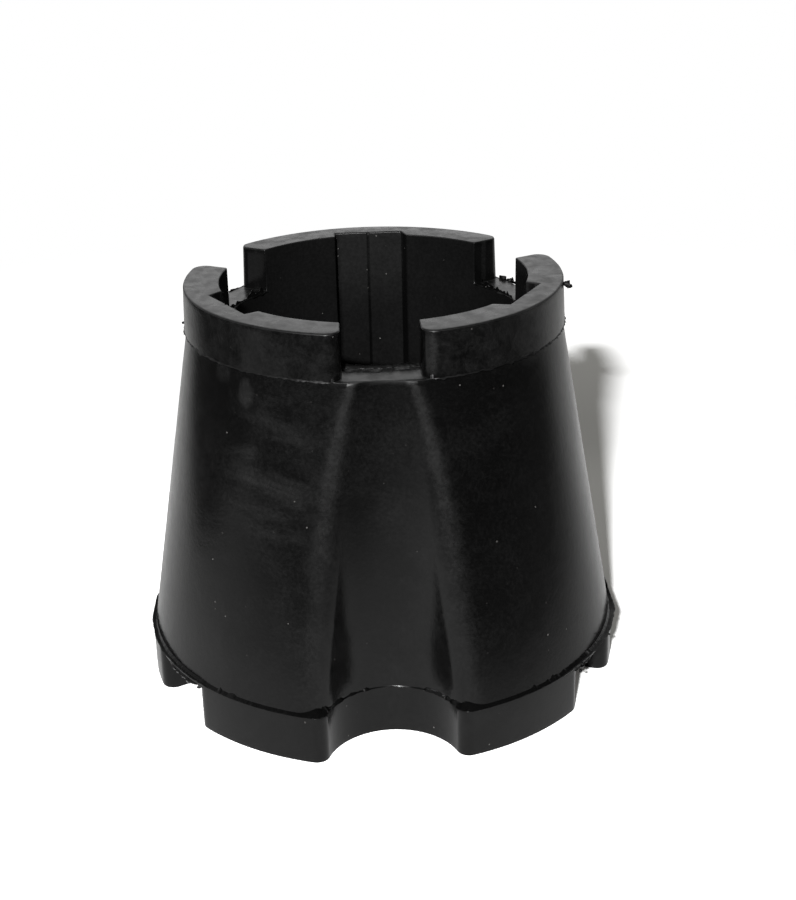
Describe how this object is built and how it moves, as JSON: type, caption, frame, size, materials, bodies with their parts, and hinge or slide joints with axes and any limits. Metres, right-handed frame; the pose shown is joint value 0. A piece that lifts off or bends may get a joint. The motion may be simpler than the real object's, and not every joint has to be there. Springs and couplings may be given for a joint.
{
  "type": "vibration damper",
  "caption": "Tapering moulded rubber vibration damper sleeve with a grooved bore, round outer flutes and castellated ends.",
  "frame": {"origin": "on the bore's axis, in the plane of the foot's underside", "axes": "+Z along the bore from the wide foot to the narrow collar; the front flute and the notch above it face -Y"},
  "size_m": [0.119, 0.1161, 0.1],
  "materials": {
    "rubber_body": "semi-matte moulded rubber with flash at the parting lines"
  },
  "bodies": {
    "root": {"damper_body": "rubber_body"}
  },
  "joints": []
}
